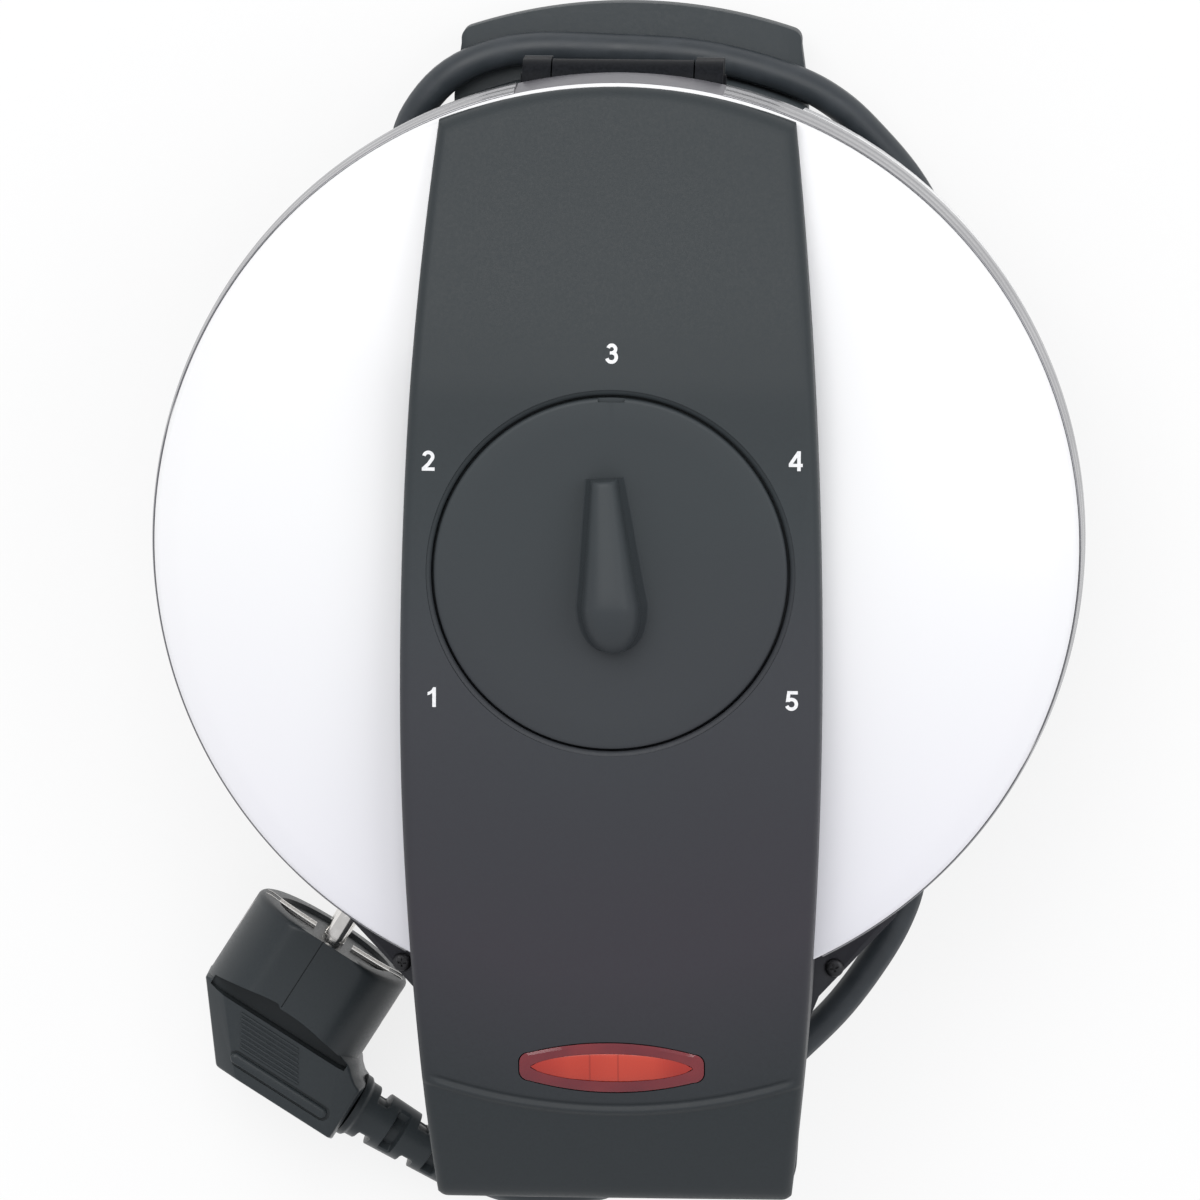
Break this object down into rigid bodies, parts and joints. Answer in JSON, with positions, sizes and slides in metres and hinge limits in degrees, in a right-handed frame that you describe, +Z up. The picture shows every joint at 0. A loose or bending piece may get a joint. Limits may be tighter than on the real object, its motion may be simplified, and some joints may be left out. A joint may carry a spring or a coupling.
{
  "type": "electric krumkake iron",
  "caption": "Round electric krumkake iron lying flat: white domed lid hinged at the rear, dark saddle with handle, numbered dial and lamp window, lead wound round the foot.",
  "frame": {"origin": "on the surface it stands on, under the middle of the iron's box without its lead and plug", "axes": "+Z up; +Y towards the hinge, along the handle; +X to the right of a user at the handle"},
  "size_m": [0.1986, 0.2632, 0.104],
  "materials": {
    "dark_plastic": "fine matte grain, dark grey",
    "dial_plastic": "smooth satin, dark grey",
    "white_enamel": "white gloss lacquer on steel sheet",
    "polished_steel": "polished steel strip",
    "grey_metal": "satin grey-brown lacquer",
    "black_lacquer": "satin black lacquer on steel",
    "cast_plate": "cast aluminium with a dark non-stick coating",
    "heater_sheath": "heat-tinted steel sheath",
    "bare_aluminium": "mill finish",
    "screw_steel": "zinc plated",
    "black_rubber": "matte black",
    "cord_sheath": "satin dark grey sheath",
    "plug_plastic": "satin moulded dark grey",
    "plug_nickel": "nickel plated",
    "ivory_plastic": "ceramic-filled moulding",
    "wire_red": "silicone insulation",
    "brass": "turned brass",
    "lamp_red": "clear red polycarbonate",
    "lamp_glass": "neon lamp in its holder"
  },
  "bodies": {
    "base": {"base_pan": "dark_plastic", "base_flare": "dark_plastic", "lower_shell": "white_enamel", "lower_plate": "cast_plate", "lower_heater": "heater_sheath", "lower_reflector": "bare_aluminium", "lower_plate_screws": "screw_steel", "rubber_feet": "black_rubber", "hinge_block": "dark_plastic", "hinge_pin": "screw_steel", "lower_handle": "dark_plastic", "lower_handle_cover": "dark_plastic", "lower_handle_screws": "screw_steel", "cord_gland": "cord_sheath", "cord_clamp": "ivory_plastic", "terminal_block": "ivory_plastic", "thermal_fuse": "bare_aluminium", "base_wiring": "wire_red", "power_cord": "cord_sheath", "plug_body": "plug_plastic", "plug_pins": "plug_nickel", "plug_earth_clips": "plug_nickel", "plug_strain_relief": "cord_sheath"},
    "lid": {"upper_shell": "white_enamel", "rim_trim": "polished_steel", "hinge_cover": "grey_metal", "hinge_arms": "black_lacquer", "saddle": "dark_plastic", "saddle_screws": "screw_steel", "handle_under_cover": "dark_plastic", "handle_cover_screws": "screw_steel", "indicator_lens": "lamp_red", "indicator_lamp": "lamp_glass", "upper_plate": "cast_plate", "upper_heater": "heater_sheath", "upper_reflector": "bare_aluminium", "upper_plate_screws": "screw_steel", "thermostat": "ivory_plastic", "thermostat_bracket": "screw_steel", "upper_wiring": "wire_red"},
    "dial": {"dial_knob": "dial_plastic", "dial_spindle": "brass", "dial_spring_clip": "screw_steel"}
  },
  "joints": [
    {"name": "lid_hinge", "type": "hinge", "parent": "base", "child": "lid", "pos_m": [0, 0.112, 0.0465], "axis": [-1, 0, 0], "range_deg": [0, 100]},
    {"name": "dial_turn", "type": "hinge", "parent": "lid", "child": "dial", "pos_m": [0, 0.0128, 0.092], "axis": [0, 0, 1], "range_deg": [-128.5, 121.5]}
  ]
}
